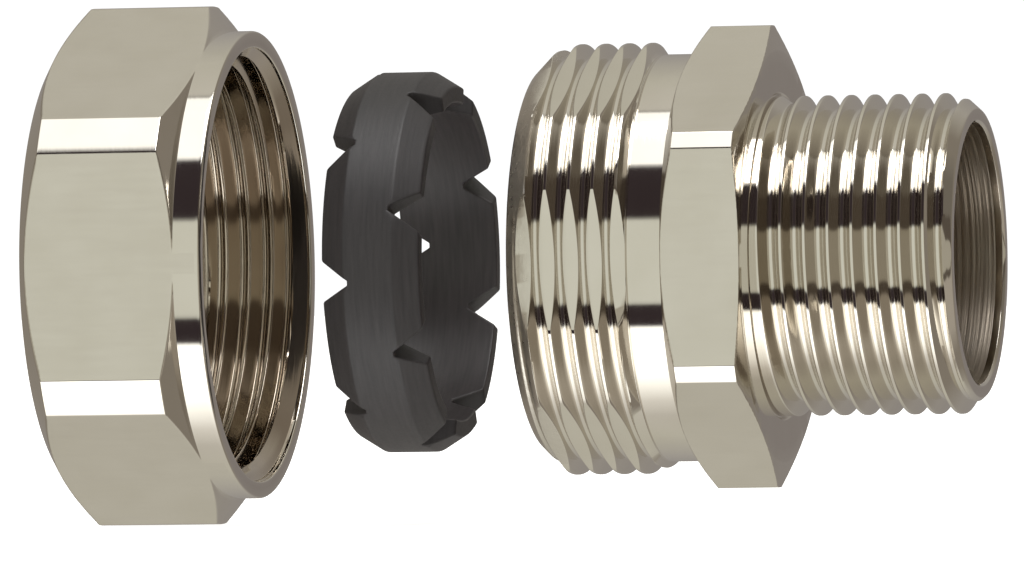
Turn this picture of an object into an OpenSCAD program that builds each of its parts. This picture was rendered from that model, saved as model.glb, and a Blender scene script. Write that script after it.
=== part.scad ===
// Brass cable gland with an M20 entry thread, laid out with its pieces apart on their shared axis.
// +X runs along the axis towards the entry thread, +Z is up, and the origin is on the axis in the
// plane of the body's seating face, the side of its hexagon that meets a wall. Millimetres.

/* [Threads] */
// Nominal diameter of the entry thread
entry_d = 20; // [20:0.05:20.4]
// Nominal diameter of the thread that carries the nut
nut_thread_d = 27; // [26.8:0.05:27.2]
// Pitch of both threads
pitch = 1.5; // [1.3:0.05:1.6]
// Radial room between the nut's thread and the body's
thread_room = 0.15; // [0.1:0.01:0.2]

/* [Body] */
// Distance from the seating face to the end of the entry thread
entry_len = 12.6; // [12:0.1:14]
// Diameter of the through bore
bore_d = 16.3; // [15.5:0.1:16.8]
// Width across flats of the body's hexagon
body_af = 25.6; // [25.5:0.1:26]
// Diameter across the turned corners of the body's hexagon
body_corner_d = 28.9; // [28.7:0.1:29.2]
// Thickness of the body's hexagon
hex_len = 5; // [4.8:0.1:6]
// Length from the hexagon to the open end that takes the clamping ring
clamp_end_len = 9.9; // [9.6:0.1:11]
// Diameter of the socket that takes the cable or conduit
socket_d = 20.4; // [20.3:0.05:20.8]

/* [Clamping ring] */
// Length of the ring
ring_len = 6.2; // [5.8:0.1:6.6]
// Largest diameter, along the middle band
ring_max_d = 23.9; // [23.6:0.1:24]
// Diameter at both rims, where the tapers end
ring_rim_d = 22; // [21.8:0.1:22.4]
// Bore of the ring
ring_bore_d = 20; // [19.8:0.05:20.2]
// Number of notches in each rim
notches = 8; // [6:1:10]
// Depth of a notch
notch_depth = 1.8; // [1.2:0.1:2.2]
// Width of a notch at the rim
notch_w = 2.55; // [2:0.05:3]
// Width left at the bottom of a notch
notch_tip_w = 0.3; // [0.2:0.05:0.6]
// Turn of the notches about the axis, in degrees
notch_turn = 28.6; // [27:0.2:30]

/* [Nut] */
// Width across flats of the nut
nut_af = 29.5; // [29.5:0.1:30]
// Diameter across the turned corners of the nut
nut_corner_d = 32.7; // [32.5:0.1:33]
// Length of the nut
nut_len = 11.8; // [11.5:0.1:13]
// Opening through the back of the nut
nut_back_d = 20.8; // [20.6:0.1:21.5]

/* [Layout] */
// Gap between the open end of the body and the clamping ring
ring_gap = 5.8; // [5:0.1:8]
// Gap between the clamping ring and the mouth of the nut
nut_gap = 6.9; // [6:0.1:9]

/* [Hidden] */
$fn = 96;

brass_colour = "#b5b0a0";
liner_colour = "#d8d4c4";
polymer_colour = "#46403f";

// ISO metric profile, from the pitch
thread_depth = 0.6134 * pitch;
inner_depth = 0.5413 * pitch;
crest_flat = pitch / 8;
flank_slope = tan(30);
cutter_overrun = 0.08;
thread_steps = 36;
// How far a cutter starts outside the face it cuts
past = 1;

// The body along its axis
body_end_x = -hex_len - clamp_end_len;
neck_r = 12.75;
neck_len = 2.2;
neck_ramp = 0.5;
body_lead = 1.5;
hex_front_slope = 0.22;
hex_back_slope = 0.47;
seat_mouth_r = 11.75;
seat_slope = 0.613;
socket_end_x = -3.5;
// A small groove in the seating face, round the thread, so that a plate clears the thread
face_relief = 0.25;
entry_lead = 1.1;
entry_end_r = entry_d / 2 - 1;
bore_lead = 0.15;

// The clamping ring about its own middle
ring_band = 3.1;
ring_x = body_end_x - ring_gap - ring_len / 2;

// The nut from its back face
nut_mouth_x = body_end_x - ring_gap - ring_len - nut_gap;
nut_back_x = nut_mouth_x - nut_len;
nut_wall = 1.2;
nut_end_r = 13.8;
nut_chamfer_slope = 0.58;
nut_neck_len = 1.7;
nut_mouth_r = 13.7;
nut_mouth_flat = 0.25;
nut_thread_len = 6.9;
nut_relief_len = 0.6;
nut_minor_r = nut_thread_d / 2 - inner_depth;
nut_relief_r = nut_thread_d / 2 + thread_room + 0.05;

// The thrust ring in the back of the nut
thrust_room = 0.05;
thrust_od = 25.2;
thrust_bore_d = 20.6;
thrust_mouth_r = 12.2;
thrust_floor_r = 10.9;
thrust_floor = 0.8;
thrust_x = nut_back_x + nut_wall + thrust_room;
thrust_cone = (thrust_mouth_r - thrust_floor_r) / seat_slope;

// A crest of the body's nut thread stands at the top of the gland at this place
nut_crest_x = body_end_x + 3.9;
// and a crest of the entry thread at this one
entry_crest_x = 6.12;
// The middle of the entry thread's groove starts here, clear of the seating face
entry_start = 0.85;

// Turns a profile of [x, r] points about the X axis
module turned(profile) {
    rotate([0, 90, 0]) rotate([0, 0, 90])
        rotate_extrude() polygon([for (p = profile) [p[1], p[0]]]);
}

// Hexagonal bar along X from x0 to x1, one flat towards -Y
module hexagon_bar(af, x0, x1) {
    translate([x0, 0, 0]) rotate([0, 90, 0])
        cylinder(r = af / 2 / cos(30), h = x1 - x0, $fn = 6);
}

// Cutter for one thread groove. The section is w_in wide at r_in and w_out wide at r_out, and its
// middle passes the top of the gland at x_top. It winds right-handed from x0 to x1.
module groove(x_top, x0, x1, r_in, w_in, r_out, w_out) {
    t0 = (x0 - x_top) / pitch;
    t1 = (x1 - x_top) / pitch;
    n = ceil((t1 - t0) * thread_steps);
    section = [[-w_in / 2, r_in], [w_in / 2, r_in], [w_out / 2, r_out], [-w_out / 2, r_out]];
    rows = [for (i = [0:n]) let (t = t0 + (t1 - t0) * i / n) [for (s = section)
        [x_top + pitch * t + s[0], -s[1] * sin(360 * t), s[1] * cos(360 * t)]]];
    walls = [for (i = [0:n - 1]) for (j = [0:3]) let (k = (j + 1) % 4)
        each [[4 * i + j, 4 * i + 4 + k, 4 * i + k], [4 * i + j, 4 * i + 4 + j, 4 * i + 4 + k]]];
    polyhedron(
        points = [for (row = rows) each row],
        faces = concat(walls, [[0, 1, 2, 3], [4 * n + 3, 4 * n + 2, 4 * n + 1, 4 * n]]));
}

// Groove of an outside thread: narrow at the root, just short of a pitch wide past the crest
module outside_groove(d, x_top, x0, x1) {
    root_r = d / 2 - thread_depth;
    out_r = d / 2 + cutter_overrun;
    w_out = pitch - crest_flat + 2 * cutter_overrun * flank_slope;
    w_root = w_out - 2 * (out_r - root_r) * flank_slope;
    groove(x_top, x0, x1, root_r, w_root, out_r, w_out);
}

module gland_body() color(brass_colour) {
    entry_r = entry_d / 2;
    thread_r = nut_thread_d / 2;
    corner_r = body_corner_d / 2;
    flat_r = body_af / 2;
    thread_end = -hex_len - neck_len - neck_ramp;
    difference() {
        // turned from hexagonal bar, whose flats also take the tops off the nut thread's crests
        intersection() {
            hexagon_bar(body_af, body_end_x - past, entry_len + past);
            turned([[body_end_x, 0], [body_end_x, thread_r - body_lead],
                [body_end_x + body_lead, thread_r], [thread_end, thread_r],
                [-hex_len - neck_len, neck_r], [-hex_len, neck_r],
                [-hex_len + hex_back_slope * (corner_r - neck_r), corner_r],
                [-hex_front_slope * (corner_r - flat_r), corner_r], [0, flat_r],
                [0, entry_r + face_relief], [-face_relief, entry_r],
                [entry_len - entry_lead, entry_r], [entry_len, entry_end_r], [entry_len, 0]]);
        }
        turned([[body_end_x - past, 0], [body_end_x - past, seat_mouth_r],
            [body_end_x, seat_mouth_r],
            [body_end_x + (seat_mouth_r - socket_d / 2) / seat_slope, socket_d / 2],
            [socket_end_x, socket_d / 2], [socket_end_x, bore_d / 2],
            [entry_len - bore_lead, bore_d / 2], [entry_len, bore_d / 2 + bore_lead],
            [entry_len + past, bore_d / 2 + bore_lead], [entry_len + past, 0]]);
        outside_groove(nut_thread_d, nut_crest_x + pitch / 2, body_end_x - pitch / 2, thread_end);
        outside_groove(entry_d, entry_crest_x + pitch / 2, entry_start, entry_len + pitch / 2);
    }
}

module clamping_ring() color(polymer_colour) {
    band = ring_band / 2;
    half = ring_len / 2;
    rim = ring_rim_d / 2;
    bore = ring_bore_d / 2;
    mouth = notch_w / 2;
    tip = notch_tip_w / 2;
    translate([ring_x, 0, 0]) difference() {
        turned([[-half, bore], [-half, rim], [-band, ring_max_d / 2], [band, ring_max_d / 2],
            [half, rim], [half, bore]]);
        for (side = [-1, 1]) for (i = [0:notches - 1])
            rotate([360 / notches * (i + (side > 0 ? 0 : 0.5)) + notch_turn, 0, 0])
                translate([side * half, 0, bore - past]) rotate([0, 0, side > 0 ? 180 : 0])
                    linear_extrude(height = ring_max_d / 2 - bore + 2 * past)
                        polygon([[-past, mouth], [0, mouth], [notch_depth, tip],
                            [notch_depth, -tip], [0, -mouth], [-past, -mouth]]);
    }
}

module thrust_ring() color(liner_colour) {
    length = thrust_floor + thrust_cone;
    translate([thrust_x, 0, 0])
        turned([[0, thrust_bore_d / 2], [0, thrust_od / 2], [length, thrust_od / 2],
            [length, thrust_mouth_r], [thrust_floor, thrust_floor_r], [thrust_floor, thrust_bore_d / 2]]);
}

module cap_nut() color(brass_colour) {
    corner_r = nut_corner_d / 2;
    neck = nut_af / 2;
    neck_x = nut_mouth_x - nut_neck_len;
    root_r = nut_thread_d / 2 + thread_room;
    in_r = nut_minor_r - cutter_overrun;
    w_in = pitch - pitch / 4 + 2 * (cutter_overrun + thread_room) * flank_slope;
    difference() {
        union() {
            intersection() {
                hexagon_bar(nut_af, nut_back_x, neck_x);
                turned([[nut_back_x, 0], [nut_back_x, nut_end_r],
                    [nut_back_x + nut_chamfer_slope * (corner_r - nut_end_r), corner_r],
                    [neck_x - nut_chamfer_slope * (corner_r - neck), corner_r],
                    [neck_x, neck], [neck_x, 0]]);
            }
            turned([[neck_x - past, 0], [neck_x - past, neck], [nut_mouth_x, neck], [nut_mouth_x, 0]]);
        }
        turned([[nut_back_x - past, 0], [nut_back_x - past, nut_back_d / 2],
            [nut_back_x + nut_wall, nut_back_d / 2], [nut_back_x + nut_wall, nut_minor_r],
            [nut_mouth_x - nut_thread_len - nut_relief_len, nut_minor_r],
            [nut_mouth_x - nut_thread_len - nut_relief_len, nut_relief_r],
            [nut_mouth_x - nut_thread_len, nut_relief_r],
            [nut_mouth_x - nut_thread_len, nut_minor_r],
            [nut_mouth_x - nut_mouth_flat - (nut_mouth_r - nut_minor_r), nut_minor_r],
            [nut_mouth_x - nut_mouth_flat, nut_mouth_r], [nut_mouth_x + past, nut_mouth_r],
            [nut_mouth_x + past, 0]]);
        groove(nut_crest_x, nut_mouth_x - nut_thread_len - pitch / 2, nut_mouth_x + pitch / 2,
            in_r, w_in, root_r, w_in - 2 * (root_r - in_r) * flank_slope);
    }
}

gland_body();
clamping_ring();
thrust_ring();
cap_nut();
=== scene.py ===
"""Cable gland with its pieces apart on their axis: detailed meshes, plated brass and moulded polymer."""

import math

import bmesh
import bpy
import numpy as np
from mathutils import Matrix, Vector


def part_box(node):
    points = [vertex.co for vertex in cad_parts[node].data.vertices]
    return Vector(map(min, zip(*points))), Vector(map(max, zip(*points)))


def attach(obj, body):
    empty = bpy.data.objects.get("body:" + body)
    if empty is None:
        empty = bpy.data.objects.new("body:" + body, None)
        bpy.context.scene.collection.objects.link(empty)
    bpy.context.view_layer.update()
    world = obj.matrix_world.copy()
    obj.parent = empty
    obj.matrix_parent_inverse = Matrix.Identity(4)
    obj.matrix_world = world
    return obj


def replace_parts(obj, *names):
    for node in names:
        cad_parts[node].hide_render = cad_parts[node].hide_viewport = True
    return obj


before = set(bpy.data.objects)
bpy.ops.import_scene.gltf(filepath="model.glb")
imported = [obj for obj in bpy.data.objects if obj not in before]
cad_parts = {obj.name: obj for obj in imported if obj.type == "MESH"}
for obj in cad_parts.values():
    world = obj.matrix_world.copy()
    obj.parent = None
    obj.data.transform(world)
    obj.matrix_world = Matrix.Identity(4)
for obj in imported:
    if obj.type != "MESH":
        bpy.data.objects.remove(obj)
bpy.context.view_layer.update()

MM = 0.001
TURN = 2 * math.pi


# ---------------------------------------------------------------- sizes in millimetres

PITCH = 1.5
FLANK_SLOPE = math.tan(math.radians(30))
CREST_FLAT = PITCH / 8
OUTER_DEPTH = 0.6134 * PITCH
INNER_DEPTH = 0.5413 * PITCH
THREAD_ROOM = 0.15
NUT_THREAD_R = 13.5
ENTRY_R = 10.0


def span(node):
    """Where the node starts and ends along X."""
    low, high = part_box(node)
    return low.x / MM, high.x / MM


BODY_LEFT, BODY_RIGHT = span("gland_body")
RING_LEFT, RING_RIGHT = span("clamping_ring")
NUT_LEFT, NUT_RIGHT = span("cap_nut")
THRUST_LEFT, THRUST_RIGHT = span("thrust_ring")

MIDDLE = Vector(((NUT_LEFT + BODY_RIGHT) / 2, 0, 0)) * MM

# where a crest of each thread passes the top of the gland
NUT_CREST = BODY_LEFT + 3.9
ENTRY_CREST = 6.12


# ---------------------------------------------------------------- camera

AIM = Vector((-17.32, -0.16, -1.25)) * MM
DISTANCE = 0.8
LENS = 448
AZIMUTH = math.radians(13.3)
ROLL = math.radians(-0.9)


def add_camera():
    data = bpy.data.cameras.new("camera")
    data.lens = LENS
    data.sensor_width = 36
    data.clip_start, data.clip_end = 0.05, 30
    camera = bpy.data.objects.new("camera", data)
    camera.location = AIM + Vector((math.sin(AZIMUTH), -math.cos(AZIMUTH), 0)) * DISTANCE
    camera.rotation_euler = (math.pi / 2, 0, AZIMUTH)
    camera.rotation_euler.rotate_axis("Z", ROLL)
    bpy.context.collection.objects.link(camera)
    bpy.context.scene.camera = camera


add_camera()


# ---------------------------------------------------------------- outlines with rounded corners

def rounded(points, radii, steps=4):
    """The open outline through points, with each inner corner rounded by an arc of its radius, which
    takes less than half of each side. Corners past the last radius stay sharp."""
    most = 0.48
    points = [np.array(p, float) for p in points]
    out = [points[0]]
    for before, corner, after, radius in zip(points, points[1:], points[2:], radii):
        to_before, to_after = before - corner, after - corner
        len_before, len_after = np.linalg.norm(to_before), np.linalg.norm(to_after)
        u, v = to_before / len_before, to_after / len_after
        angle = math.acos(float(np.clip(u @ v, -1, 1)))
        reach = min(radius / math.tan(angle / 2), most * len_before, most * len_after)
        middle = corner + (u + v) / np.linalg.norm(u + v) * reach / math.cos(angle / 2)
        a, b = corner + u * reach - middle, corner + v * reach - middle
        sweep = math.pi - angle
        for i in range(steps + 1):
            t = i / steps
            out.append(middle + (math.sin((1 - t) * sweep) * a + math.sin(t * sweep) * b) / math.sin(sweep))
    out.append(points[-1])
    return np.array(out)


def soft_min(a, b, width):
    """The lower of a and b, with the corner where they cross rounded over width."""
    h = np.clip(0.5 + 0.5 * (b - a) / width, 0, 1)
    return b + (a - b) * h - width * h * (1 - h)


def soft_max(a, b, width):
    """The higher of a and b, with the corner rounded in the same way."""
    return -soft_min(-a, -b, width)


# ---------------------------------------------------------------- skins wound round the axis

JOIN_WITHIN = 0.0015 * MM
SHARP_ABOVE = math.radians(31)


class Skin:
    """A closed surface round the X axis, gathered from patches that share their edges. Outside patches
    run towards +X, then end faces inwards, then bores towards -X, then end faces outwards."""

    def __init__(self, angles):
        self.angles = np.asarray(angles, float)
        self.points, self.faces, self.kinds = [], [], []
        self.count = 0

    def patch(self, x, r, kind=0, shift=0, swing=0):
        """x and r hold one row per angle. On the seam, column k of the last row meets column k - shift
        of the first. swing turns points about the axis, and kind is a material number, or one per face."""
        rows, columns = x.shape
        t = self.angles[:, None] + swing
        self.points.append(np.stack([x, -r * np.cos(t), r * np.sin(t)], -1).reshape(-1, 3))
        here = np.arange(rows)[:, None] * columns + np.arange(columns - 1)
        there = np.roll(here, -1, axis=0)
        quads = np.stack([here, here + 1, there + 1, there], -1)
        kinds = np.broadcast_to(kind, quads.shape[:2])
        if shift:
            k = np.arange(columns - 1)
            k = k[(k - shift >= 0) & (k - shift <= columns - 2)]
            a, b = (rows - 1) * columns + k, k - shift
            seam = np.stack([a, a + 1, b + 1, b], -1)
            kinds = np.concatenate([kinds[:-1].ravel(), kinds[-1][k]])
            quads = np.concatenate([quads[:-1].reshape(-1, 4), seam])
        self.faces.append(quads.reshape(-1, 4) + self.count)
        self.kinds.append(kinds.ravel())
        self.count += rows * columns

    def level(self, values):
        """The same row of values for every angle."""
        return np.tile(np.asarray(values, float), (len(self.angles), 1))

    def revolve(self, outline, kind=0):
        """A patch whose outline of (x, r) points is the same all round."""
        outline = np.asarray(outline, float)
        self.patch(self.level(outline[:, 0]), self.level(outline[:, 1]), kind)

    def build(self, name, materials, body):
        """Joins the patches into one smooth closed mesh, which rides the body."""
        points = np.concatenate(self.points) * MM
        faces = np.concatenate(self.faces)
        mesh = bpy.data.meshes.new(name)
        mesh.from_pydata(points.tolist(), [], faces.tolist())
        mesh.polygons.foreach_set("material_index", np.concatenate(self.kinds).astype(np.int32))
        work = bmesh.new()
        work.from_mesh(mesh)
        bmesh.ops.remove_doubles(work, verts=work.verts, dist=JOIN_WITHIN)
        bmesh.ops.recalc_face_normals(work, faces=work.faces)
        open_edges = sum(not e.is_manifold for e in work.edges)
        print(name, len(work.verts), "points", len(work.faces), "faces", open_edges, "open edges")
        work.to_mesh(mesh)
        work.free()
        mesh.polygons.foreach_set("use_smooth", [True] * len(mesh.polygons))
        mesh.set_sharp_from_angle(angle=SHARP_ABOVE)
        for material in materials:
            mesh.materials.append(material)
        mesh.update()
        piece = bpy.data.objects.new(name, mesh)
        bpy.context.collection.objects.link(piece)
        normals = piece.modifiers.new("normals", "WEIGHTED_NORMAL")
        normals.keep_sharp = True
        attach(piece, body)
        return piece


# ---------------------------------------------------------------- threads

FAR_OUT = 50.0


def thread_section(high, low, high_flat, high_round, low_round):
    """One pitch of a thread as (x, r) points, with x from the middle of its largest radius."""
    half_high = high_flat / 2
    half_low = half_high + (high - low) * FLANK_SLOPE
    flank = np.linspace((half_high, high), (half_low, low), 6)[1:-1]
    corners = [(-PITCH / 2, low), (-half_low, low), (-half_high, high), (half_high, high),
               (half_low, low), (PITCH / 2, low)]
    outline = rounded(corners, [low_round, high_round, high_round, low_round], 4)
    # the outline's 22 points are an end and an arc of 5, two arcs of 5, and an arc of 5 and an end
    first, second, third, last = outline[:6], outline[6:11], outline[11:16], outline[16:]
    left_flank = flank[::-1] * (-1, 1)
    return np.concatenate([first, left_flank, second, third, flank, last])


def wound(skin, sections, crest_top, low, high, shape, kind=0, inside=False):
    """Winds thread sections, one per angle, right-handed round the axis from low to high. crest_top is
    where a crest passes the top, and shape(x, r, middle) is the radius left after chamfers and run-outs,
    with middle the place of the nearest groove. kind is a material number, or gives them from x."""
    sections = np.array(sections)[:, :-1]
    per_turn = sections.shape[1]
    start = math.floor((low - crest_top) / PITCH) - 1
    turns = math.ceil((high - low) / PITCH) + 4
    steps = PITCH * (start + np.arange(turns))
    lead = (crest_top + PITCH / 4 - PITCH * skin.angles / TURN)[:, None, None]
    crest = lead + steps[None, :, None]
    x = (crest + sections[:, None, :, 0]).reshape(len(skin.angles), -1)
    middle = (crest + PITCH / 2 * np.sign(sections[:, None, :, 0])).reshape(len(skin.angles), -1)
    r = np.tile(sections[:, :, 1], (1, turns))
    held = np.clip(x, low, high)
    ends = np.array([low, high])
    ends = shape(ends, np.full(2, 0.0 if inside else FAR_OUT), ends)
    r = np.where(x <= low, ends[0], np.where(x >= high, ends[1], shape(held, r, middle)))
    if inside:
        skin.patch(held[:, ::-1], r[:, ::-1], kind, shift=-per_turn)
    else:
        skin.patch(held, r, kind(held[:, :-1]) if callable(kind) else kind, shift=per_turn)


# ---------------------------------------------------------------- materials

EVEN = (1, 1, 1)
MARK_DEPTH = 0.03 * MM


def new_material(name):
    """A material with its nodes, its links and its main shader."""
    material = bpy.data.materials.new(name)
    material.use_nodes = True
    tree = material.node_tree
    return material, tree.nodes, tree.links, tree.nodes["Principled BSDF"]


def noise(nodes, links, scale, stretch, detail=3):
    """Noise in the object's own space, stretched by giving an axis a smaller scale."""
    place = nodes.new("ShaderNodeTexCoord")
    spread = nodes.new("ShaderNodeMapping")
    spread.inputs["Scale"].default_value = stretch
    links.new(place.outputs["Object"], spread.inputs["Vector"])
    texture = nodes.new("ShaderNodeTexNoise")
    texture.inputs["Scale"].default_value = scale
    texture.inputs["Detail"].default_value = detail
    links.new(spread.outputs["Vector"], texture.inputs["Vector"])
    return texture.outputs["Fac"]


def ramp(nodes, links, value, stops):
    """A colour from the value, through (value, colour) stops."""
    node = nodes.new("ShaderNodeValToRGB")
    elements = node.color_ramp.elements
    while len(elements) < len(stops):
        elements.new(0.5)
    for element, (place, colour) in zip(elements, stops):
        element.position = place
        element.color = (*colour, 1)
    links.new(value, node.inputs["Fac"])
    return node.outputs["Color"]


def spread_to(nodes, links, value, low, high):
    """The value, from 0 and 1 to low and high."""
    node = nodes.new("ShaderNodeMapRange")
    node.inputs["To Min"].default_value = low
    node.inputs["To Max"].default_value = high
    links.new(value, node.inputs["Value"])
    return node.outputs["Result"]


def add_bump(nodes, links, shader, height, strength):
    """Marks in the surface, from a height between 0 and 1."""
    bump = nodes.new("ShaderNodeBump")
    bump.inputs["Strength"].default_value = strength
    bump.inputs["Distance"].default_value = MARK_DEPTH
    links.new(height, bump.inputs["Height"])
    links.new(bump.outputs["Normal"], shader.inputs["Normal"])


def plated_brass(name, dark, light, rough, marks, stretch):
    """Nickel-plated brass with fine tool marks, stretched round the axis or along it."""
    material, nodes, links, shader = new_material(name)
    shader.inputs["Metallic"].default_value = 1
    cloud = noise(nodes, links, 260, EVEN, 4)
    grain = noise(nodes, links, 900, stretch, 3)
    links.new(ramp(nodes, links, cloud, [(0.3, dark), (0.7, light)]), shader.inputs["Base Color"])
    links.new(spread_to(nodes, links, grain, rough * 0.7, rough * 1.3), shader.inputs["Roughness"])
    add_bump(nodes, links, shader, grain, marks)
    return material


def moulded(name, dark, light, rough, stretch):
    """Moulded polymer with a fine matt grain and faint rings."""
    material, nodes, links, shader = new_material(name)
    fine = noise(nodes, links, 5200, EVEN, 4)
    rings = noise(nodes, links, 1500, stretch, 3)
    links.new(ramp(nodes, links, rings, [(0.25, dark), (0.75, light)]), shader.inputs["Base Color"])
    links.new(spread_to(nodes, links, fine, rough - 0.06, rough + 0.08), shader.inputs["Roughness"])
    add_bump(nodes, links, shader, rings, 0.3)
    return material


# dark and light pairs: the plating outside, and a darker, browner copy for the bores and the nut's thread,
# which paints the shade that falls inside them
BRIGHT = (0.625, 0.585, 0.52), (0.66, 0.62, 0.56)
INSIDE_PAINTED_SHADE = (0.47, 0.405, 0.335), (0.52, 0.46, 0.385)
ROUND_THE_AXIS = (6, 0.2, 0.2)
ALONG_THE_AXIS = (0.3, 3, 3)
TURNED, DRAWN, BORED, CUT, COARSE = range(5)
METAL = [
    plated_brass("plated_brass_turned", *BRIGHT, 0.07, 0.1, ROUND_THE_AXIS),
    plated_brass("plated_brass_drawn", *BRIGHT, 0.22, 0.2, ALONG_THE_AXIS),
    plated_brass("plated_brass_bored_painted_shade", *INSIDE_PAINTED_SHADE, 0.38, 1.0, (5, 0.1, 0.1)),
    plated_brass("plated_brass_cut_painted_shade", *INSIDE_PAINTED_SHADE, 0.1, 0.15, ROUND_THE_AXIS),
    plated_brass("plated_brass_coarse", *BRIGHT, 0.3, 1.0, (2.5, 2, 2)),
]
CHARCOAL = (0.016, 0.014, 0.015), (0.026, 0.0225, 0.0235)
# a paler copy of the charcoal for the ring's bore: painted light, which brightens the inside of the ring
BORE_PAINTED_LIGHT_CHARCOAL = (0.036, 0.031, 0.032), (0.056, 0.048, 0.049)
NATURAL = (0.62, 0.59, 0.50), (0.70, 0.67, 0.59)
MOULDED, MOULDED_BORE_PAINTED_LIGHT = range(2)
DARK_POLYMER = [
    moulded("charcoal_polymer", *CHARCOAL, 0.5, (3, 0.25, 0.25)),
    moulded("charcoal_polymer_bore_painted_light", *BORE_PAINTED_LIGHT_CHARCOAL, 0.42, (3, 0.25, 0.25)),
]
PALE_POLYMER = [moulded("natural_polymer", *NATURAL, 0.42, (3, 0.3, 0.3))]


# ---------------------------------------------------------------- hexagonal bar

SIXTH = TURN / 6


def spaced(angles, apart):
    """The angles in order round one turn, without those closer than apart degrees to the one before."""
    angles = np.sort(np.mod(angles, TURN))
    return angles[np.concatenate([[True], np.diff(angles) > math.radians(apart)])]


def bar_angles(count, apothem, corner):
    """Even angles, and close ones where the flats meet the turned corners."""
    half_flat = math.acos(apothem / corner)
    edges = [SIXTH * k + side * half_flat for k in range(6) for side in (-1, 1)]
    near = [e + math.radians(d) for e in edges for d in (-0.7, -0.35, -0.12, 0.12, 0.35, 0.7)]
    return spaced(np.concatenate([np.linspace(0, TURN, count, endpoint=False), near]), 0.06)


def places(*stretches):
    """Places along X, from (start, end, count) stretches."""
    return np.unique(np.concatenate([np.linspace(*stretch) for stretch in stretches]))


def off_flat(angles):
    """How far each angle is from the middle of the nearest flat."""
    return (angles + SIXTH / 2) % SIXTH - SIXTH / 2


def bar_radius(angles, apothem, corner):
    """Radius of the bar at each angle: a flat towards -Y and every 60 degrees, corners turned off."""
    return soft_min(apothem / np.cos(off_flat(angles)), np.full(len(angles), corner), 0.02)


def bar_patch(skin, x, radius, apothem, shape):
    """The bar between x's ends. shape(x, r) is the radius left after the cones are turned."""
    least_cut = 0.02
    across = skin.level(x)
    r = shape(across, radius[:, None])
    flat = np.abs(off_flat(skin.angles)) < math.acos(apothem / radius.max())
    cut = (r[:, 1:] + r[:, :-1]) / 2 < radius[:, None] - least_cut
    skin.patch(across, r, np.where(flat[:, None] & ~cut, DRAWN, TURNED))
    return r


# ---------------------------------------------------------------- gland body

def make_body():
    apothem, corner_r, neck_r = 12.8, 14.45, 12.75
    hex_left, neck_len = -5.0, 2.2
    neck_left = hex_left - neck_len
    open_r, rim = 12.0, 0.08
    left, right = BODY_LEFT + rim, BODY_RIGHT - rim
    crest_round, root_round, soft = 0.05, 0.1, 0.05
    angles = bar_angles(360, apothem, corner_r)
    skin = Skin(angles)
    radius = bar_radius(angles, apothem, corner_r)

    # the nut's thread, whose crests the bar's flats cut
    lead_in, run_out_slope, floor_slope = 1.3, 1.5, 0.35

    def nut_thread(x, r, middle):
        lead = open_r + rim + (x - left)
        run_out = neck_r + (neck_left - x) * run_out_slope
        r = soft_min(soft_min(r, lead, soft), run_out, soft)
        return np.where(x > neck_left - 0.6, np.maximum(r, neck_r - (neck_left - x) * floor_slope), r)

    sections = []
    for top in np.minimum(NUT_THREAD_R, apothem / np.cos(off_flat(angles))):
        flat = CREST_FLAT + 2 * (NUT_THREAD_R - top) * FLANK_SLOPE
        sections.append(thread_section(top, NUT_THREAD_R - OUTER_DEPTH, flat, crest_round, root_round))
    wound(skin, sections, NUT_CREST, left, neck_left, nut_thread,
          lambda x: np.where(x < left + lead_in, COARSE, TURNED))

    # the neck, with the fine line that the tool leaves where the thread ends, and the hexagon
    line_x, line_depth = neck_left + 0.08, 0.06
    left_slope, right_slope = 0.47, 0.22
    left_cone_end, right_cone_start = hex_left + 0.85, -0.45

    def hexagon(x, r):
        r = soft_min(r, neck_r + (x - hex_left) / left_slope, 0.06)
        r = soft_min(r, apothem - x / right_slope, 0.06)
        return np.maximum(r, neck_r) - np.clip(line_depth - np.abs(x - line_x), 0, line_depth)

    x = places((line_x - line_depth, line_x + line_depth, 3), (neck_left, hex_left, 4),
               (hex_left, left_cone_end, 30), (left_cone_end, right_cone_start, 6), (right_cone_start, 0, 20))
    edge = bar_patch(skin, x, radius, apothem, hexagon)[:, -1:]

    # the seating face, with its small groove round the entry thread
    relief = 0.25
    across = edge + (ENTRY_R + relief - edge) * np.linspace(0, 1, 4)
    skin.patch(np.zeros_like(across), across)
    skin.revolve(rounded([(0, ENTRY_R + relief), (-relief, ENTRY_R), (0, ENTRY_R)], [0.05], 3))

    # the entry thread, whose groove comes up to the surface just before the seating face
    fade_start, fade_len = 0.65, 0.4
    lead_len, lead_drop = 1.1, 1.0

    def entry_thread(x, r, middle):
        r = ENTRY_R - (ENTRY_R - r) * np.clip((middle - fade_start) / fade_len, 0, 1)
        return soft_min(r, ENTRY_R - (x - BODY_RIGHT + lead_len) * lead_drop / lead_len, soft)

    section = thread_section(ENTRY_R, ENTRY_R - OUTER_DEPTH, CREST_FLAT, crest_round, root_round)
    wound(skin, [section] * len(angles), ENTRY_CREST, 0, right, entry_thread)

    # the bore, the shoulder, the socket and the coned seat for the clamping ring
    end_r = float(entry_thread(right, FAR_OUT, right))
    bore_r, socket_r, seat_r, shoulder = 8.15, 10.2, 11.75, -3.5
    bore_lead, bore_start, seat_slope = 0.15, 12, 0.613
    seat_end = BODY_LEFT + (seat_r - socket_r) / seat_slope
    skin.revolve(rounded([(right, end_r), (BODY_RIGHT, end_r - rim), (BODY_RIGHT, bore_r + bore_lead),
                          (BODY_RIGHT - bore_lead, bore_r), (bore_start, bore_r)], [0.1, 0.03, 0.03], 3))
    # the bore and socket take the darker copy of the plating: painted shade
    skin.revolve(rounded([(bore_start, bore_r), (shoulder, bore_r), (shoulder, socket_r),
                          (seat_end, socket_r)], [0.1, 0.1], 3), BORED)
    skin.revolve(rounded([(seat_end, socket_r), (BODY_LEFT, seat_r), (BODY_LEFT, open_r),
                          (left, open_r + rim)], [0.06, 0.1], 3))
    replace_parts(skin.build("gland_body_skin", METAL, "body"), "gland_body")


# ---------------------------------------------------------------- cap nut

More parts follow.
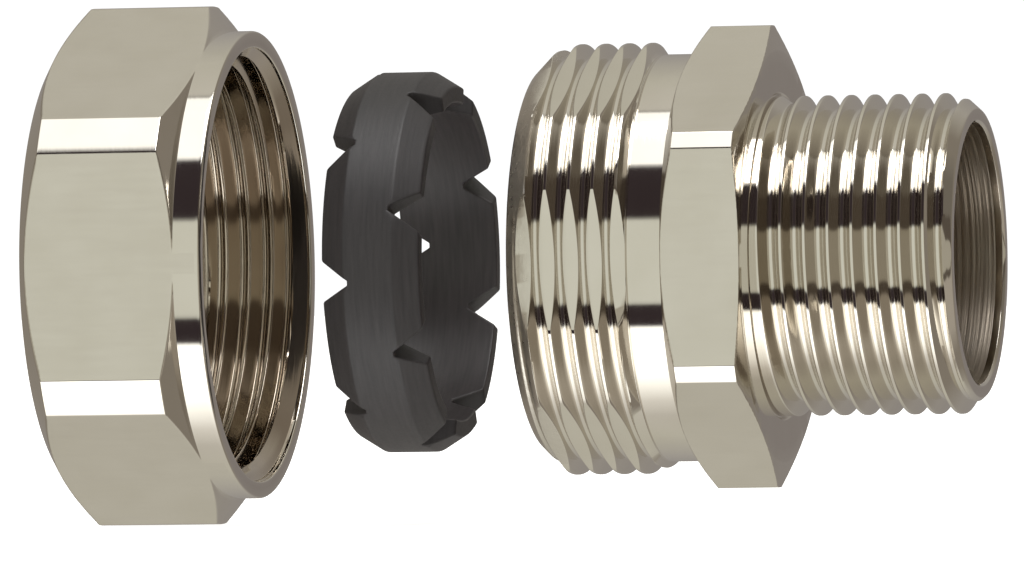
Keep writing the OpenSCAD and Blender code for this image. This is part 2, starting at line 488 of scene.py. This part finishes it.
def make_nut():
    apothem, corner_r, end_r, back_r = 14.75, 16.35, 13.8, 10.4
    neck_left = NUT_RIGHT - 1.7
    cone_slope, cone_soft = 0.58, 0.08
    rim = 0.3
    angles = bar_angles(360, apothem, corner_r)
    skin = Skin(angles)
    radius = bar_radius(angles, apothem, corner_r)

    def hexagon(x, r):
        r = soft_min(r, end_r + (x - NUT_LEFT) / cone_slope, cone_soft)
        cut = soft_min(r, apothem + (neck_left - x) / cone_slope, cone_soft)
        return np.where(x > neck_left - 2, np.maximum(cut, apothem), r)

    back_cone_end, neck_cone_start, neck_start = NUT_LEFT + 1.7, neck_left - 1.1, neck_left + 0.1
    x = places((NUT_LEFT, back_cone_end, 36), (back_cone_end, neck_cone_start, 8),
               (neck_cone_start, neck_start, 28), (neck_start, NUT_RIGHT - rim, 4))
    bar_patch(skin, x, radius, apothem, hexagon)

    # the mouth and the thread
    mouth_r, mouth_flat, thread_len, run_out_slope, soft = 13.7, 0.25, 6.9, 2.5, 0.05
    mouth = NUT_RIGHT - mouth_flat
    inner = NUT_RIGHT - thread_len
    minor_r = NUT_THREAD_R - INNER_DEPTH
    skin.revolve(rounded([(NUT_RIGHT - rim, apothem), (NUT_RIGHT, apothem), (NUT_RIGHT, mouth_r),
                          (mouth, mouth_r)], [0.22, 0.1], 4))

    def thread(x, r, middle):
        r = soft_max(r, mouth_r - (mouth - x), soft)
        return soft_max(r, mouth_r - (x - inner) * run_out_slope, soft)

    # the thread and the relief behind it take the darker copy of the plating: painted shade
    section = thread_section(NUT_THREAD_R + THREAD_ROOM, minor_r, CREST_FLAT, 0.06, 0.05)
    wound(skin, [section] * len(angles), NUT_CREST, inner, mouth, thread, CUT, inside=True)

    # the relief behind the thread, the thrust ring's seat and the opening through the back
    relief_left, wall, lip = inner - 0.6, NUT_LEFT + 1.2, 0.4
    skin.revolve(rounded(
        [(inner, mouth_r), (relief_left, mouth_r), (relief_left, minor_r), (wall, minor_r), (wall, back_r),
         (NUT_LEFT, back_r), (NUT_LEFT, back_r + lip)], [0.15, 0.1, 0.2, 0.15, 0.15], 3), CUT)
    skin.revolve([(NUT_LEFT, r) for r in np.linspace(back_r + lip, end_r, 9)])
    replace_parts(skin.build("cap_nut_skin", METAL, "nut"), "cap_nut")


# ---------------------------------------------------------------- thrust ring

def make_thrust_ring():
    bore_r, floor_r, seam_r, mouth_r, outer_r = 10.3, 10.9, 11.5, 12.2, 12.6
    floor = THRUST_LEFT + 0.8
    skin = Skin(np.linspace(0, TURN, 240, endpoint=False))
    skin.revolve(rounded(
        [(THRUST_LEFT, seam_r), (THRUST_LEFT, outer_r), (THRUST_RIGHT, outer_r), (THRUST_RIGHT, mouth_r),
         (floor, floor_r), (floor, bore_r), (THRUST_LEFT, bore_r), (THRUST_LEFT, seam_r)],
        [0.15, 0.12, 0.08, 0.08, 0.1, 0.15], 3))
    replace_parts(skin.build("thrust_ring_skin", PALE_POLYMER, "thrust"), "thrust_ring")


# ---------------------------------------------------------------- clamping ring

def make_clamping_ring():
    bore_r, mean_r, rim_r, band_r, band = 10.0, 11.2, 11.0, 11.95, 1.55
    notches, depth, mouth, tip = 8, 1.8, 1.275, 0.15
    turn = math.radians(28.6)
    middle, half = (RING_LEFT + RING_RIGHT) / 2, (RING_RIGHT - RING_LEFT) / 2
    step = TURN / notches

    # the V of a notch as (distance round the ring, depth) points with its corners rounded
    beyond, mouth_round, tip_round = 3, 0.22, 0.12
    vee = rounded([(-beyond, 0), (-mouth, 0), (-tip, depth), (tip, depth), (mouth, 0), (beyond, 0)],
                  [mouth_round, tip_round, tip_round, mouth_round], 5)
    vee_y, vee_d = vee[1:-1, 0], vee[1:-1, 1]

    # the notches' middles on each rim, as angles from -Y over +Z
    centre = {-1: math.pi / 2 - turn - step / 2, 1: math.pi / 2 - turn}
    marks = [np.linspace(0, TURN, 240, endpoint=False)]
    for side in (-1, 1):
        for k in range(notches):
            marks.append(centre[side] + k * step + np.arcsin(vee_y / mean_r))
    angles = spaced(np.concatenate(marks), 0.05)
    skin = Skin(angles)

    def notch(side):
        """At each angle, how far round the ring the nearest notch's middle is, how deep the notch is,
        and how much wider its slanted walls make the rounding of the edge."""
        off = (angles - centre[side] + step / 2) % step - step / 2
        y = mean_r * np.sin(off)
        d = np.interp(y, vee_y, vee_d, left=0, right=0)
        wall = (np.abs(y) > tip) & (np.abs(y) < mouth)
        return y, d, np.where(wall, 1.9, 1.0)[:, None]

    y_left, d_left, wider_left = notch(-1)
    y_right, d_right, wider_right = notch(1)
    low, high = (-half + d_left)[:, None], (half - d_right)[:, None]

    # the rounding of the left edge, from the rim inwards
    edge_round = 0.1
    arc = np.linspace(math.pi / 2, 0, 5)
    inset, drop = edge_round * (1 - np.sin(arc)), edge_round * (1 - np.cos(arc))

    def outside(x):
        slope = (band_r - rim_r) / (half - band)
        return soft_min(band_r + 0 * x, rim_r + (half - np.abs(x)) * slope, 0.05)

    def bore(x):
        return bore_r + 0 * x

    def long_side(base, sign):
        """The outer surface (sign 1) or the bore (sign -1) between the rounded rims, along +X."""
        fixed = places((-half, -band - 0.1, 9), (-band - 0.08, -band + 0.12, 5),
                       (-band + 0.2, band - 0.2, 14), (band - 0.12, band + 0.08, 5), (band + 0.1, half, 9))
        a = low + inset * wider_left
        b = high - inset[::-1] * wider_right
        inner = np.clip(fixed, a[:, -1:], b[:, :1])
        x = np.concatenate([a, inner, b], 1)
        fall = np.concatenate([skin.level(drop), np.zeros_like(inner), skin.level(drop[::-1])], 1)
        return x, base(x) - sign * fall

    def swing(x, r):
        """Turns points near a notch, so that its walls stay flat and parallel to the radius through its
        middle. The turn fades out beside the notch and towards the ring's own middle."""
        reach, fade, most = 2.4, 0.9, 0.9
        out = np.zeros_like(x)
        for y, on_this_side in ((y_left[:, None], x < 0), (y_right[:, None], x > 0)):
            near = np.clip((reach - np.abs(y)) / fade, 0, 1) * np.clip(np.abs(x), 0, 1)
            exact = np.arcsin(np.clip(y / r, -most, most)) - np.arcsin(y / mean_r)
            out += np.where(on_this_side, near * exact, 0)
        return out

    def add(x, r, kind=MOULDED):
        skin.patch(x + middle, r, kind, swing=swing(x, r))

    def add_rim(x, start_r, end_r):
        r = start_r + (end_r - start_r) * np.linspace(0, 1, 5)
        add(x + 0 * r, r)

    outer_x, outer_r = long_side(outside, 1)
    inner_x, inner_r = long_side(bore, -1)
    add(outer_x, outer_r)
    add_rim(high, outer_r[:, -1:], inner_r[:, -1:])
    # the bore takes the paler copy of the polymer: painted light
    add(inner_x[:, ::-1], inner_r[:, ::-1], MOULDED_BORE_PAINTED_LIGHT)
    add_rim(low, inner_r[:, :1], outer_r[:, :1])
    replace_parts(skin.build("clamping_ring_skin", DARK_POLYMER, "ring"), "clamping_ring")


make_body()
make_nut()
make_thrust_ring()
make_clamping_ring()


# ---------------------------------------------------------------- studio

# What the metal mirrors is laid out like cards round a product, by elevation round the gland's axis:
# degrees up from the camera's side, over the top to the far side. First its middle, as (degrees, colour).
BEIGE, DARK = (0.85, 0.865, 0.78), (0.045, 0.034, 0.037)
ABOVE, BELOW = (1.75, 1.77, 1.74), (2.7, 2.75, 2.7)
SIDE, FAR_SIDE, BACK = (0.67, 0.66, 0.58), (0.46, 0.44, 0.405), (0.265, 0.24, 0.225)
CARDS = [(-180, BACK), (-150, FAR_SIDE), (-120, SIDE), (-100, (0.72, 0.7, 0.64)), (-88, (1.0, 0.98, 0.92)),
         (-74, (1.75, 1.77, 1.72)), (-58, BELOW), (-40, BELOW), (-38.5, DARK), (-26.5, DARK), (-25, BEIGE),
         (21.5, BEIGE), (23, DARK), (53, DARK), (54.5, ABOVE), (90, ABOVE), (91.5, (0.32, 0.31, 0.285)),
         (93, (0.76, 0.745, 0.68)), (120, SIDE), (150, FAR_SIDE), (180, BACK)]
# The cards are only so wide: past their ends, to the left and right, the studio is dimmer.
WARM, DIM, DIMMER, DIM_ABOVE = (0.5, 0.46, 0.4), (0.3, 0.27, 0.23), (0.13, 0.11, 0.09), (0.22, 0.2, 0.17)
DIM_BEIGE = (0.5, 0.475, 0.4)
PAST_CARDS = [(-180, DIM), (-110, DIM), (-90, WARM), (-40, WARM), (-36, DIMMER), (-28, DIMMER),
              (-24, DIM_BEIGE), (21, DIM_BEIGE), (24, DIMMER), (52, DIMMER), (58, DIM_ABOVE), (90, DIM_ABOVE),
              (110, DIM), (180, DIM)]
CARD_END = [(0.3, (0, 0, 0)), (0.6, (1, 1, 1))]
# the sockets of the mix node that take and give colours
MIX_A, MIX_B, MIX_RESULT = 6, 7, 2


def add_world():
    """White behind the object, and the cards in what it mirrors."""
    world = bpy.data.worlds.new("studio")
    bpy.context.scene.world = world
    world.use_nodes = True
    nodes, links = world.node_tree.nodes, world.node_tree.links
    nodes.clear()

    def maths(operation, *values):
        node = nodes.new("ShaderNodeMath")
        node.operation = operation
        for socket, value in zip(node.inputs, values):
            if isinstance(value, (int, float)):
                socket.default_value = value
            else:
                links.new(value, socket)
        return node.outputs[0]

    def round_the_axis(colours):
        return ramp(nodes, links, elevation, [((degrees + 180) / 360, c) for degrees, c in colours])

    place = nodes.new("ShaderNodeTexCoord")
    part = nodes.new("ShaderNodeSeparateXYZ")
    links.new(place.outputs["Generated"], part.inputs[0])
    angle = maths("ARCTAN2", part.outputs["Z"], maths("MULTIPLY", part.outputs["Y"], -1))
    whole = nodes.new("ShaderNodeMapRange")
    whole.inputs["From Min"].default_value = -math.pi
    whole.inputs["From Max"].default_value = math.pi
    links.new(angle, whole.inputs["Value"])
    elevation = whole.outputs["Result"]
    blend = nodes.new("ShaderNodeMix")
    blend.data_type = "RGBA"
    links.new(ramp(nodes, links, maths("ABSOLUTE", part.outputs["X"]), CARD_END), blend.inputs["Factor"])
    links.new(round_the_axis(CARDS), blend.inputs[MIX_A])
    links.new(round_the_axis(PAST_CARDS), blend.inputs[MIX_B])
    studio = nodes.new("ShaderNodeBackground")
    links.new(blend.outputs[MIX_RESULT], studio.inputs["Color"])
    backdrop = nodes.new("ShaderNodeBackground")
    backdrop.inputs["Color"].default_value = (1, 1, 1, 1)
    backdrop.inputs["Strength"].default_value = 1.05
    path = nodes.new("ShaderNodeLightPath")
    mix = nodes.new("ShaderNodeMixShader")
    links.new(path.outputs["Is Camera Ray"], mix.inputs["Fac"])
    links.new(studio.outputs[0], mix.inputs[1])
    links.new(backdrop.outputs[0], mix.inputs[2])
    out = nodes.new("ShaderNodeOutputWorld")
    links.new(mix.outputs[0], out.inputs["Surface"])


def add_floor():
    """A plain white floor just under the nut, which doesn't show in the metal."""
    size = 5.0
    level = -16.5 * MM
    corners = [(-size, -size, level), (size, -size, level), (size, size, level), (-size, size, level)]
    mesh = bpy.data.meshes.new("floor")
    mesh.from_pydata(corners, [], [(0, 1, 2, 3)])
    floor = bpy.data.objects.new("floor", mesh)
    bpy.context.collection.objects.link(floor)
    material, nodes, links, shader = new_material("pale_floor")
    shader.inputs["Base Color"].default_value = (0.85, 0.85, 0.84, 1)
    shader.inputs["Roughness"].default_value = 0.9
    shader.inputs["Specular IOR Level"].default_value = 0.0
    shader.inputs["Emission Color"].default_value = (1, 1, 1, 1)
    shader.inputs["Emission Strength"].default_value = 0.85
    mesh.materials.append(material)
    floor.visible_glossy = False


def add_light(name, place, size, power):
    """A square soft light that looks at the middle of the gland."""
    data = bpy.data.lights.new(name, "AREA")
    data.shape = "SQUARE"
    data.size = size
    data.energy = power
    light = bpy.data.objects.new(name, data)
    light.location = place
    light.rotation_euler = (MIDDLE - Vector(place)).to_track_quat("-Z", "Y").to_euler()
    bpy.context.collection.objects.link(light)


add_world()
add_floor()
add_light("top_box", (0.1, -0.25, 0.75), 0.5, 4)
bpy.context.scene.view_settings.view_transform = "Standard"
